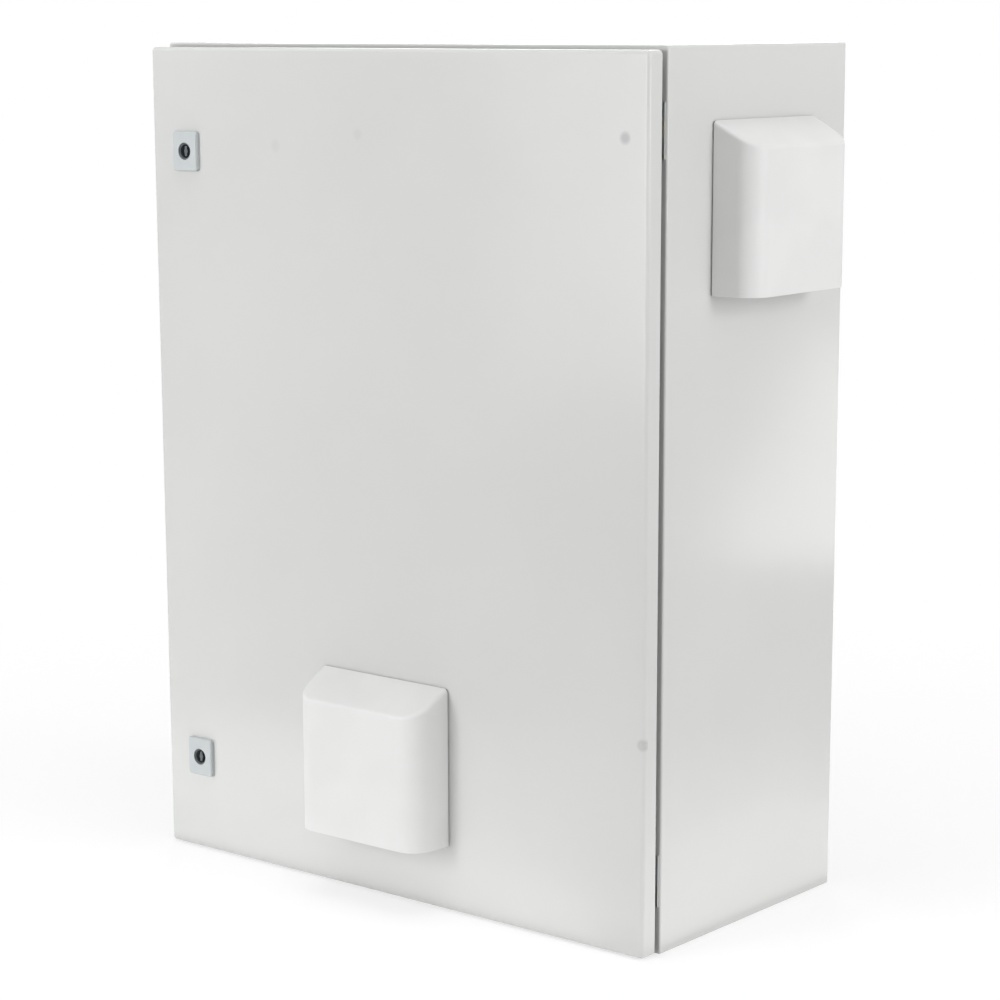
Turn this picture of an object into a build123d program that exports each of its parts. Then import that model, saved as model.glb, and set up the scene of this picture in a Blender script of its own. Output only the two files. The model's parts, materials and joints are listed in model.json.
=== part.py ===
from build123d import *
import os

# A steel cabinet for roadside and wall use: a folded and welded case, a hinged door with two
# quarter-turn locks, and two moulded rain hoods over its air vents.
# Sizes are millimetres. The origin is the middle of the underside. +X is to the right of someone
# who faces the door, +Y runs from the door to the wall and +Z is up.

os.makedirs("parts", exist_ok=True)

# Overall size
cabinet_width = 600.0
cabinet_height = 800.0
cabinet_depth = 300.0  # wall to door face

# Clearances
cut_overrun = 6.0  # how far a cutting shape passes the face that it cuts
rest_gap = 0.3  # between pieces that stop just short of each other
running_gap = 0.05  # radial, between a turning piece and its bore
thread_gap = 0.05  # radial, between a screw and the hole that holds it
pass_gap = 0.4  # radial, between a fastener and a hole that it passes through

# Case
case_sheet = 1.5
case_bend = 2.0  # outside radius of its bends
case_corner = 2.5
rim_flange = 18.0  # width of the gutter floor round the mouth
lip_corner = 6.0
wall_hole_radius = 4.5
wall_hole_inset = 25.0  # from the case's sides to the hole's axis

# Door
door_sheet = 1.5
door_bend = 3.5
door_corner = 4.0
door_edge_depth = 18.0  # of the folded edge
door_gap = 7.0  # between the folded edge and the case
door_side_gap = 1.0
door_top_gap = 4.0
door_bottom_gap = 1.5

# Door seal
seal_thickness = 8.5
seal_width = 12.0
seal_round = 3.0

# Door rails
rail_width = 26.0
rail_depth = 15.0
rail_end_margin = 97.0  # from the door's ends
rail_sheet = 1.5
rail_inset = 99.0  # from the door's sides to a rail's middle
punch_width = 12.0
punch_height = 10.0
punch_pitch = 25.0

# Hinges
hinge_from_end = 67.0  # from the door's ends to a hinge's middle
hinge_inset = 5.0  # from the door's side to the pin's axis
hinge_forward = 4.0  # from the folded edge to the pin's axis
hinge_height = 48.0
hinge_plate = 2.0
hinge_arm = 2.5
barrel_height = 20.0
pin_radius = 2.0
pin_head_radius = 3.2
pin_head_height = 2.0
pin_tail = 2.0  # length that shows below the lower knuckle
hinge_screw_spacing = 32.0
hinge_screw_radius = 2.0
hinge_screw_head_radius = 3.6
hinge_screw_tail = 1.5  # thread that shows past the nut
hinge_nut_flats = 7.0
hinge_nut_height = 3.2

# Locks
lock_inset = 47.0  # from the door's side to the lock's axis
lock_from_top = 98.0  # from the door's top to the upper lock's axis
lock_from_bottom = 95.5
lock_plate_width = 32.0
lock_plate_height = 38.0
lock_plate_thickness = 4.5
lock_plate_corner = 3.0
lock_plate_bevel = 1.0
lock_barrel_radius = 11.0
lock_core_radius = 9.0
lock_mouth_radius = 8.2
lock_mouth_lip = 1.0
lock_shoulder = 0.6  # core that stands past the barrel
lock_socket_radius = 6.6
lock_socket_depth = 9.0
bit_pin_radius = 2.4
bit_span = 9.6
bit_thickness = 3.0
bit_setback = 0.8
lock_nut_flats = 30.0
lock_nut_height = 5.0
cam_grip_gap = 1.0  # between the closed cam and the case's rim
cam_thickness = 3.0
cam_width = 18.0
cam_reach = 38.0
cam_tip_round = 5.0
cam_square = 8.0
cam_screw_radius = 2.5
cam_screw_length = 14.0
cam_screw_head_radius = 6.5
cam_screw_head_height = 3.5

# Vents: each is a hood, a seal, a filter and an inner frame, clamped by four screws
hood_width = 158.0
hood_height = 152.0
hood_reach = 45.0  # from the panel to the hood's front
hood_draft = 4.0  # lean of each side from back to front
hood_corner = 22.0
hood_slope = 23.0  # drop of the sloping top from back to front
hood_edge_round = 4.5
hood_wall = 3.0
hood_seal_thickness = 1.5
hood_seal_width = 7.0
hood_seal_inset = 1.5  # from the hood's outline
boss_radius = 4.5
boss_hole_depth = 14.0
vent_screw_radius = 2.0
vent_screw_bite = 10.0  # length in the boss
vent_screw_head_radius = 4.0
vent_screw_head_height = 2.6
slot_end_margin = 6.0  # from the slots' ends to the filter's edge
slot_width = 6.0
slot_pitch = 11.0
frame_margin_across = 9.0  # from the hood's side to the frame's
frame_margin_up = 12.0
frame_screw_inset = 8.0  # from the frame's edges
frame_flange = 3.0
frame_depth = 14.0
frame_corner = 4.0
frame_box_margin = 15.0  # from the flange's edge to the filter box
frame_wall = 3.0
frame_bar_pitch = 13.0
frame_gap_height = 8.0
filter_slack = 0.3
door_vent_across = -5.0  # from the door's middle
door_vent_up = 140.5
side_vent_from_wall = 131.0
side_vent_from_top = 139.5

# Mounting plate
plate_margin = 45.0  # from the case's sides, top and bottom
plate_sheet = 2.0
plate_fold = 10.0
plate_stand_off = 14.0
plate_stud_inset = 20.0  # from the plate's edges
plate_stud_radius = 4.0
plate_stud_tail = 14.0  # length in front of the plate
plate_nut_flats = 13.0
plate_nut_height = 6.5
plate_spacer_radius = 8.0

# Gland plate in the floor
gland_opening_width = 260.0
gland_opening_depth = 70.0
gland_opening_corner = 6.0
gland_from_wall = 80.0  # to the opening's middle
gland_overlap = 17.0  # of the plate past the opening
gland_sheet = 2.0
gland_seal_thickness = 2.0
gland_stud_radius = 2.5
gland_stud_tail = 8.0
gland_nut_flats = 8.0
gland_nut_height = 4.0

# Earthing studs
earth_stud_radius = 3.0
earth_stud_length = 18.0
earth_nut_flats = 10.0
earth_nut_height = 5.0
case_earth_from_mouth = 60.0
case_earth_up = 60.0
door_earth_inset = 59.0  # from the door's hinged side
door_earth_up = 120.0

# Places that follow from the sizes above
wall_y = cabinet_depth / 2
door_face_y = -cabinet_depth / 2
door_inner_y = door_face_y + door_sheet
door_rear_y = door_face_y + door_edge_depth
case_front_y = door_rear_y + door_gap
case_depth = wall_y - case_front_y
case_mid_z = cabinet_height / 2
case_right_x = cabinet_width / 2
door_width = cabinet_width - 2 * door_side_gap
door_height = cabinet_height - door_top_gap - door_bottom_gap
door_mid_z = door_bottom_gap + door_height / 2
lip_width = cabinet_width - 2 * rim_flange
lip_height = cabinet_height - 2 * rim_flange
lip_front_y = door_inner_y + seal_thickness + rest_gap
hinge_x = door_width / 2 - hinge_inset
hinge_y = door_rear_y - hinge_forward
hinge_barrel_radius = hinge_inset - door_sheet - rest_gap
lock_x = lock_inset - door_width / 2
cam_front_y = case_front_y + case_sheet + cam_grip_gap
plate_rear_y = wall_y - case_sheet - plate_stand_off
gland_y = wall_y - gland_from_wall
door_top_z = door_bottom_gap + door_height
hinge_heights = {
    "upper": door_top_z - hinge_from_end,
    "lower": door_bottom_gap + hinge_from_end,
}
lock_heights = {
    "upper": door_top_z - lock_from_top,
    "lower": door_bottom_gap + lock_from_bottom,
}
rail_length = door_height - 2 * rail_end_margin
plate_width = cabinet_width - 2 * plate_margin
plate_height = cabinet_height - 2 * plate_margin
frame_width = hood_width - 2 * frame_margin_across
frame_height = hood_height - 2 * frame_margin_up
boss_across = frame_width - 2 * frame_screw_inset
boss_up = frame_height - 2 * frame_screw_inset
pocket_width = frame_width - 2 * (frame_box_margin + frame_wall)
pocket_height = frame_height - 2 * (frame_box_margin + frame_wall)
slot_length = pocket_width - 2 * slot_end_margin
slot_count = int((pocket_height - slot_width) // slot_pitch) + 1
frame_bar_count = int((pocket_height - frame_gap_height) // frame_bar_pitch) + 1


# Work planes, named for the way that they face


def facing_front(x, y, z):
    return Plane(origin=(x, y, z), x_dir=(1, 0, 0), z_dir=(0, -1, 0))


def facing_back(x, y, z):
    return Plane(origin=(x, y, z), x_dir=(-1, 0, 0), z_dir=(0, 1, 0))


def facing_right(x, y, z):
    return Plane(origin=(x, y, z), x_dir=(0, 1, 0), z_dir=(1, 0, 0))


def facing_up(x, y, z):
    return Plane(origin=(x, y, z), x_dir=(1, 0, 0), z_dir=(0, 0, 1))


def turned_over(plane):
    return Plane(origin=plane.origin, x_dir=-plane.x_dir, z_dir=-plane.z_dir)


door_vent = facing_front(door_vent_across, door_face_y, door_vent_up)
side_vent = facing_right(
    case_right_x, wall_y - side_vent_from_wall, cabinet_height - side_vent_from_top
)


def write(piece, name):
    """Labels a finished piece and writes it as one file."""
    piece.part.label = name
    export_step(piece.part, f"parts/{name}.step")


def hex_nuts(name, seats, flats, height, bore):
    """A group of plain hexagon nuts, each standing on its seat plane."""
    with BuildPart() as nuts:
        for seat in seats:
            with BuildSketch(seat):
                RegularPolygon(flats / 2, 6, major_radius=False)
                Circle(bore, mode=Mode.SUBTRACT)
            extrude(amount=height)
    write(nuts, name)


def studs(name, seats, radius, length):
    """A group of welded studs, each standing on its seat plane."""
    with BuildPart() as pins:
        for seat in seats:
            with BuildSketch(seat):
                Circle(radius)
            extrude(amount=length)
    write(pins, name)


# Air vents


def vent_slots(plane, sheet):
    """The cutting shape for a vent's row of air slots and its four screw holes in a panel."""
    with BuildPart() as slots:
        with BuildSketch(plane.offset(cut_overrun)):
            with GridLocations(0, slot_pitch, 1, slot_count):
                SlotOverall(slot_length, slot_width)
            with GridLocations(boss_across, boss_up, 2, 2):
                Circle(vent_screw_radius + pass_gap)
        extrude(amount=-sheet - 2 * cut_overrun)
    return slots.part


def hood_block(plane, inset):
    """The solid form of a hood, set in by a wall thickness: a tapered section cut by a slope.

    With no inset it is the outside, which starts at the panel. With one it is the hollow, which
    runs out through the back and the bottom.
    """
    start = -cut_overrun if inset else 0
    bottom = -hood_height / 2 - (cut_overrun if inset else 0)
    reach = hood_reach - inset
    side_length = (hood_reach**2 + hood_draft**2) ** 0.5
    half_widths = {
        out: hood_width / 2 - (inset * side_length + out * hood_draft) / hood_reach
        for out in (start, reach)
    }
    slope_length = (hood_reach**2 + hood_slope**2) ** 0.5
    back_top = hood_height / 2 - inset * slope_length / hood_reach
    section = Plane(
        origin=plane.from_local_coords((0, bottom, 0)), x_dir=-plane.x_dir, z_dir=plane.y_dir
    )
    rise = plane.y_dir * hood_reach + plane.z_dir * hood_slope
    with BuildPart() as block:
        with BuildSketch(section) as outline:
            with BuildLine():
                Polyline(
                    (-half_widths[start], start),
                    (half_widths[start], start),
                    (half_widths[reach], reach),
                    (-half_widths[reach], reach),
                    close=True,
                )
            make_face()
            fillet(outline.vertices().group_by(Axis.Y)[-1], radius=hood_corner - inset)
        extrude(amount=hood_height + cut_overrun)
        slope = Plane(origin=plane.from_local_coords((0, back_top, 0)), z_dir=rise)
        split(bisect_by=slope, keep=Keep.BOTTOM)
        ridge = block.faces().sort_by(Axis(plane.origin, rise))[-1].edges()
        outward = Axis(plane.origin, plane.z_dir)
        fillet(ridge.sort_by(outward)[1:], radius=hood_edge_round - inset)
    return block.part


def vent_hood(name, plane):
    """The moulded rain hood: a thin wall, open below and behind, with four screw bosses."""
    outside = hood_block(plane, 0)
    with BuildPart() as bosses:
        with BuildSketch(plane):
            with GridLocations(boss_across, boss_up, 2, 2):
                Circle(boss_radius)
        extrude(amount=hood_reach)
        add(outside, mode=Mode.INTERSECT)
    with BuildPart() as hood:
        add(outside)
        with BuildSketch(plane):
            Rectangle(hood_width + cut_overrun, hood_height + cut_overrun)
        extrude(amount=hood_seal_thickness, mode=Mode.SUBTRACT)
        add(hood_block(plane, hood_wall), mode=Mode.SUBTRACT)
        add(bosses.part)
        with BuildSketch(plane):
            with GridLocations(boss_across, boss_up, 2, 2):
                Circle(vent_screw_radius + thread_gap)
        extrude(amount=boss_hole_depth, mode=Mode.SUBTRACT)
    write(hood, name)


def vent_seal(name, plane):
    """The foam strip under the hood's two sides and top."""
    with BuildPart() as strip:
        with BuildSketch(plane):
            with Locations((0, -hood_height / 2)):
                Rectangle(
                    hood_width - 2 * hood_seal_inset,
                    hood_height - hood_seal_inset,
                    align=(Align.CENTER, Align.MIN),
                )
                Rectangle(
                    hood_width - 2 * (hood_seal_inset + hood_seal_width),
                    hood_height - hood_seal_inset - hood_seal_width,
                    align=(Align.CENTER, Align.MIN),
                    mode=Mode.SUBTRACT,
                )
        extrude(amount=hood_seal_thickness)
    write(strip, name)


def vent_frame(name, plane, sheet):
    """The moulded frame inside the panel: a flange, a box for the filter and a row of bars."""
    inner_face = turned_over(plane.offset(-sheet))
    box_width = frame_width - 2 * frame_box_margin
    box_height = frame_height - 2 * frame_box_margin
    with BuildPart() as frame:
        with BuildSketch(inner_face):
            RectangleRounded(frame_width, frame_height, frame_corner)
        extrude(amount=frame_flange)
        with BuildSketch(inner_face):
            RectangleRounded(box_width, box_height, frame_corner)
        extrude(amount=frame_depth)
        with BuildSketch(inner_face):
            Rectangle(pocket_width, pocket_height)
        extrude(amount=frame_depth - frame_wall, mode=Mode.SUBTRACT)
        with BuildSketch(inner_face):
            with GridLocations(0, frame_bar_pitch, 1, frame_bar_count):
                Rectangle(pocket_width - 2 * frame_wall, frame_gap_height)
            with GridLocations(boss_across, boss_up, 2, 2):
                Circle(vent_screw_radius + pass_gap)
        extrude(amount=frame_depth + cut_overrun, mode=Mode.SUBTRACT)
    write(frame, name)


def vent_filter(name, plane, sheet):
    """The fibre mat that fills the frame's box."""
    inner_face = turned_over(plane.offset(-sheet - filter_slack))
    with BuildPart() as mat:
        with BuildSketch(inner_face):
            Rectangle(pocket_width - 2 * filter_slack, pocket_height - 2 * filter_slack)
        extrude(amount=frame_depth - frame_wall - 2 * filter_slack)
    write(mat, name)


def vent_screws(name, plane, sheet):
    """Four pan-head screws from the frame through the panel into the hood's bosses."""
    head_seat = turned_over(plane.offset(-sheet - frame_flange))
    with BuildPart() as screws:
        with BuildSketch(head_seat):
            with GridLocations(boss_across, boss_up, 2, 2):
                Circle(vent_screw_head_radius)
        extrude(amount=vent_screw_head_height)
        with BuildSketch(head_seat):
            with GridLocations(boss_across, boss_up, 2, 2):
                Circle(vent_screw_radius)
        extrude(amount=-frame_flange - sheet - vent_screw_bite)
    write(screws, name)


for vent_name, vent_plane, vent_sheet in (
    ("door_vent", door_vent, door_sheet),
    ("side_vent", side_vent, case_sheet),
):
    vent_hood(f"{vent_name}_hood", vent_plane)
    vent_seal(f"{vent_name}_seal", vent_plane)
    vent_frame(f"{vent_name}_frame", vent_plane, vent_sheet)
    vent_filter(f"{vent_name}_filter", vent_plane, vent_sheet)
    vent_screws(f"{vent_name}_screws", vent_plane, vent_sheet)


# Case

hinge_screw_x = (case_right_x - case_bend + lip_width / 2 + hinge_plate) / 2
hinge_screw_heights = [
    height + side * hinge_screw_spacing / 2
    for height in hinge_heights.values()
    for side in (1, -1)
]
wall_hole_across = cabinet_width - 2 * wall_hole_inset
wall_hole_up = cabinet_height - 2 * wall_hole_inset
plate_stud_across = plate_width - 2 * plate_stud_inset
plate_stud_up = plate_height - 2 * plate_stud_inset
gland_stud_across = (gland_opening_width + gland_overlap) / 2
gland_stud_deep = gland_opening_depth + gland_overlap

with BuildPart() as case_hollow:
    with BuildSketch(facing_front(0, wall_y - case_sheet, case_mid_z)):
        RectangleRounded(
            cabinet_width - 2 * case_sheet,
            cabinet_height - 2 * case_sheet,
            case_corner - case_sheet,
        )
    extrude(amount=case_depth - 2 * case_sheet)
    fillet(case_hollow.faces().filter_by(Axis.Y).edges(), radius=case_bend - case_sheet)

with BuildPart() as body_shell:
    with BuildSketch(facing_front(0, wall_y, case_mid_z)):
        RectangleRounded(cabinet_width, cabinet_height, case_corner)
    extrude(amount=case_depth)
    fillet(body_shell.faces().filter_by(Axis.Y).edges(), radius=case_bend)
    add(case_hollow.part, mode=Mode.SUBTRACT)
    # The lip stands forward from the gutter floor, and the mouth is cut through both
    with BuildSketch(facing_front(0, case_front_y + case_sheet, case_mid_z)):
        RectangleRounded(lip_width, lip_height, lip_corner)
    extrude(amount=case_front_y + case_sheet - lip_front_y)
    with BuildSketch(facing_front(0, case_front_y + case_sheet + cut_overrun, case_mid_z)):
        RectangleRounded(
            lip_width - 2 * case_sheet, lip_height - 2 * case_sheet, lip_corner - case_sheet
        )
    extrude(amount=case_front_y + case_sheet - lip_front_y + 2 * cut_overrun, mode=Mode.SUBTRACT)
    # Wall holes
    with BuildSketch(facing_back(0, wall_y, case_mid_z)):
        with GridLocations(wall_hole_across, wall_hole_up, 2, 2):
            Circle(wall_hole_radius)
    extrude(amount=-case_sheet - cut_overrun, mode=Mode.SUBTRACT)
    # Opening for cable glands
    with BuildSketch(facing_up(0, gland_y, 0)):
        RectangleRounded(gland_opening_width, gland_opening_depth, gland_opening_corner)
    extrude(amount=case_sheet + cut_overrun, mode=Mode.SUBTRACT)
    add(vent_slots(side_vent, case_sheet), mode=Mode.SUBTRACT)
    # Holes for the hinge screws in the gutter floor
    with BuildSketch(facing_front(hinge_screw_x, case_front_y, 0)):
        with Locations(*[(0, height) for height in hinge_screw_heights]):
            Circle(hinge_screw_radius + pass_gap)
    extrude(amount=-case_sheet - cut_overrun, mode=Mode.SUBTRACT)
write(body_shell, "body_shell")

# Mounting plate and what holds it

plate_stud_seats = [
    facing_front(across * plate_stud_across / 2, wall_y - case_sheet, case_mid_z + up * plate_stud_up / 2)
    for across in (-1, 1)
    for up in (-1, 1)
]
plate_nut_seats = [seat.offset(plate_stand_off + plate_sheet) for seat in plate_stud_seats]

with BuildPart() as mounting_plate:
    with BuildSketch(facing_front(0, plate_rear_y, case_mid_z)):
        Rectangle(plate_width, plate_height)
        with GridLocations(plate_stud_across, plate_stud_up, 2, 2):
            Circle(plate_stud_radius + pass_gap, mode=Mode.SUBTRACT)
    extrude(amount=plate_sheet)
    with BuildSketch(facing_front(0, plate_rear_y, case_mid_z)):
        with GridLocations(plate_width - plate_sheet, 0, 2, 1):
            Rectangle(plate_sheet, plate_height)
    extrude(amount=-plate_fold)
    bends = mounting_plate.faces().sort_by(Axis.Y)[0].edges().filter_by(Axis.Z)
    fillet(bends, radius=plate_sheet)
write(mounting_plate, "mounting_plate")

studs(
    "mounting_plate_studs",
    plate_stud_seats,
    plate_stud_radius,
    plate_stand_off + plate_sheet + plate_stud_tail,
)
hex_nuts(
    "mounting_plate_nuts",
    plate_nut_seats,
    plate_nut_flats,
    plate_nut_height,
    plate_stud_radius + thread_gap,
)
with BuildPart() as mounting_plate_spacers:
    for seat in plate_stud_seats:
        with BuildSketch(seat):
            Circle(plate_spacer_radius)
            Circle(plate_stud_radius + pass_gap, mode=Mode.SUBTRACT)
        extrude(amount=plate_stand_off)
write(mounting_plate_spacers, "mounting_plate_spacers")

# Gland plate

gland_width = gland_opening_width + 2 * gland_overlap
gland_depth = gland_opening_depth + 2 * gland_overlap
gland_stud_seats = [
    facing_up(column * gland_stud_across, gland_y + row * gland_stud_deep / 2, case_sheet)
    for column in (-1, 0, 1)
    for row in (-1, 1)
]
gland_nut_seats = [seat.offset(gland_seal_thickness + gland_sheet) for seat in gland_stud_seats]

with BuildPart() as gland_plate_seal:
    with BuildSketch(facing_up(0, gland_y, case_sheet)):
        Rectangle(gland_width, gland_depth)
        RectangleRounded(
            gland_opening_width, gland_opening_depth, gland_opening_corner, mode=Mode.SUBTRACT
        )
        with GridLocations(gland_stud_across, gland_stud_deep, 3, 2):
            Circle(gland_stud_radius + pass_gap, mode=Mode.SUBTRACT)
    extrude(amount=gland_seal_thickness)
write(gland_plate_seal, "gland_plate_seal")

with BuildPart() as gland_plate:
    with BuildSketch(facing_up(0, gland_y, case_sheet + gland_seal_thickness)):
        Rectangle(gland_width, gland_depth)
        with GridLocations(gland_stud_across, gland_stud_deep, 3, 2):
            Circle(gland_stud_radius + pass_gap, mode=Mode.SUBTRACT)
    extrude(amount=gland_sheet)
write(gland_plate, "gland_plate")

studs(
    "gland_plate_studs",
    gland_stud_seats,
    gland_stud_radius,
    gland_seal_thickness + gland_sheet + gland_stud_tail,
)
hex_nuts(
    "gland_plate_nuts",
    gland_nut_seats,
    gland_nut_flats,
    gland_nut_height,
    gland_stud_radius + thread_gap,
)

# Earthing studs

case_earth = facing_right(
    case_sheet - case_right_x, case_front_y + case_earth_from_mouth, case_earth_up
)
door_earth = facing_back(door_width / 2 - door_earth_inset, door_inner_y, door_earth_up)
for earth_name, earth_seat in (("body_earth", case_earth), ("door_earth", door_earth)):
    studs(f"{earth_name}_stud", [earth_seat], earth_stud_radius, earth_stud_length)
    hex_nuts(
        f"{earth_name}_nut",
        [earth_seat.offset(rest_gap)],
        earth_nut_flats,
        earth_nut_height,
        earth_stud_radius + thread_gap,
    )

# Hinges: a bracket in the gutter, a leaf on the door's folded edge and a pin through both

lip_outer_x = lip_width / 2
foot_end_x = case_right_x - case_bend
arm_front_y = hinge_y - hinge_arm
return_inner_x = door_width / 2 - door_sheet
leaf_front_y = door_inner_y + door_bend - door_sheet + rest_gap

for side_name, height in hinge_heights.items():
    with BuildPart() as bracket:
        with BuildSketch(facing_up(0, 0, height - hinge_height / 2)):
            with BuildLine():
                Polyline(
                    (lip_outer_x, case_front_y),
                    (foot_end_x, case_front_y),
                    (foot_end_x, case_front_y - hinge_plate),
                    (lip_outer_x + hinge_plate, case_front_y - hinge_plate),
                    (lip_outer_x + hinge_plate, arm_front_y),
                    (lip_outer_x, arm_front_y),
                    close=True,
                )
            make_face()
        extrude(amount=hinge_height)
        with BuildSketch(facing_up(hinge_x, hinge_y, height - barrel_height / 2)):
            Rectangle(hinge_x - lip_outer_x, hinge_arm, align=(Align.MAX, Align.MAX))
            Circle(hinge_barrel_radius)
            Circle(pin_radius + running_gap, mode=Mode.SUBTRACT)
        extrude(amount=barrel_height)
        for side in (1, -1):
            seat = facing_front(
                hinge_screw_x, case_front_y - hinge_plate, height + side * hinge_screw_spacing / 2
            )
            with Locations(seat):
                CounterSinkHole(
                    hinge_screw_radius + pass_gap, hinge_screw_head_radius, hinge_plate + cut_overrun
                )
    write(bracket, f"{side_name}_hinge_bracket")

    knuckle_height = (hinge_height - barrel_height) / 2 - rest_gap
    with BuildPart() as leaf:
        with BuildSketch(facing_up(return_inner_x, leaf_front_y, height - hinge_height / 2)):
            Rectangle(
                hinge_plate, hinge_y + hinge_barrel_radius - leaf_front_y,
                align=(Align.MAX, Align.MIN),
            )
        extrude(amount=hinge_height)
        with BuildSketch(facing_up(hinge_x, hinge_y, height - hinge_height / 2)):
            Circle(hinge_barrel_radius)
        extrude(amount=hinge_height)
        with BuildSketch(facing_up(hinge_x, hinge_y, height - barrel_height / 2 - rest_gap)):
            Rectangle(2 * hinge_inset, 2 * (hinge_barrel_radius + rest_gap))
        extrude(amount=barrel_height + 2 * rest_gap, mode=Mode.SUBTRACT)
        with BuildSketch(facing_up(hinge_x, hinge_y, height - hinge_height / 2)):
            Circle(pin_radius + running_gap)
        extrude(amount=hinge_height, mode=Mode.SUBTRACT)
    write(leaf, f"{side_name}_hinge_leaf")

    with BuildPart() as pin:
        with BuildSketch(facing_up(hinge_x, hinge_y, height - hinge_height / 2 - pin_tail)):
            Circle(pin_radius)
        extrude(amount=hinge_height + pin_tail + rest_gap)
        with BuildSketch(facing_up(hinge_x, hinge_y, height + hinge_height / 2 + rest_gap)):
            Circle(pin_head_radius)
        extrude(amount=pin_head_height)
        chamfer(pin.faces().sort_by(Axis.Z)[-1].edges(), length=pin_head_height / 4)
    write(pin, f"{side_name}_hinge_pin")

hinge_head_depth = hinge_screw_head_radius - hinge_screw_radius
with BuildPart() as hinge_screws:
    for height in hinge_screw_heights:
        seat = facing_front(hinge_screw_x, case_front_y - hinge_plate, height)
        with BuildSketch(seat):
            Circle(hinge_screw_radius)
        extrude(amount=-hinge_plate - case_sheet - hinge_nut_height - hinge_screw_tail)
        with Locations(turned_over(seat)):
            Cone(
                hinge_screw_head_radius - rest_gap,
                hinge_screw_radius,
                hinge_head_depth - rest_gap,
                align=(Align.CENTER, Align.CENTER, Align.MIN),
            )
write(hinge_screws, "hinge_screws")
hex_nuts(
    "hinge_nuts",
    [facing_back(hinge_screw_x, case_front_y + case_sheet, height) for height in hinge_screw_heights],
    hinge_nut_flats,
    hinge_nut_height,
    hinge_screw_radius + thread_gap,
)

# Door

with BuildPart() as door_panel:
    with BuildSketch(facing_front(0, door_rear_y, door_mid_z)):
        RectangleRounded(door_width, door_height, door_corner)
    extrude(amount=door_edge_depth)
    fillet(door_panel.faces().sort_by(Axis.Y)[0].edges(), radius=door_bend)
    offset(amount=-door_sheet, openings=door_panel.faces().sort_by(Axis.Y)[-1])
    add(vent_slots(door_vent, door_sheet), mode=Mode.SUBTRACT)
    with BuildSketch(facing_front(lock_x, door_face_y, 0)):
        with Locations(*[(0, height) for height in lock_heights.values()]):
            Circle(lock_barrel_radius + pass_gap)
    extrude(amount=-door_sheet - cut_overrun, mode=Mode.SUBTRACT)
write(door_panel, "door_panel")

seal_line_width = lip_width - case_sheet
seal_line_height = lip_height - case_sheet
with BuildPart() as door_seal:
    with BuildSketch(facing_back(0, door_inner_y, case_mid_z)):
        RectangleRounded(
            seal_line_width + seal_width, seal_line_height + seal_width, lip_corner + seal_width / 2
        )
        RectangleRounded(
            seal_line_width - seal_width,
            seal_line_height - seal_width,
            lip_corner,
            mode=Mode.SUBTRACT,
        )
    extrude(amount=seal_thickness)
    fillet(door_seal.faces().sort_by(Axis.Y)[-1].edges(), radius=seal_round)
write(door_seal, "door_seal")

punch_count = int((rail_length - punch_pitch) // punch_pitch)
for side_name, side in (("left", -1), ("right", 1)):
    rail_x = side * (door_width / 2 - rail_inset)
    with BuildPart() as rail:
        with BuildSketch(facing_up(rail_x, door_inner_y, door_mid_z - rail_length / 2)):
            Rectangle(rail_width, rail_depth, align=(Align.CENTER, Align.MIN))
            Rectangle(
                rail_width - 2 * rail_sheet,
                rail_depth - rail_sheet,
                align=(Align.CENTER, Align.MIN),
                mode=Mode.SUBTRACT,
            )
        extrude(amount=rail_length)
        with BuildSketch(facing_back(rail_x, door_inner_y + rail_depth, door_mid_z)):
            with GridLocations(0, punch_pitch, 1, punch_count):
                Rectangle(punch_width, punch_height)
        extrude(amount=-2 * rail_sheet, mode=Mode.SUBTRACT)
    write(rail, f"door_{side_name}_rail")

# Locks: a plate with a barrel through the door, its nut, a turning core, a cam and a screw

core_shoulder = cam_front_y - door_face_y
lock_barrel_length = core_shoulder - lock_shoulder
core_front = lock_plate_thickness - lock_mouth_lip - rest_gap

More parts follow.
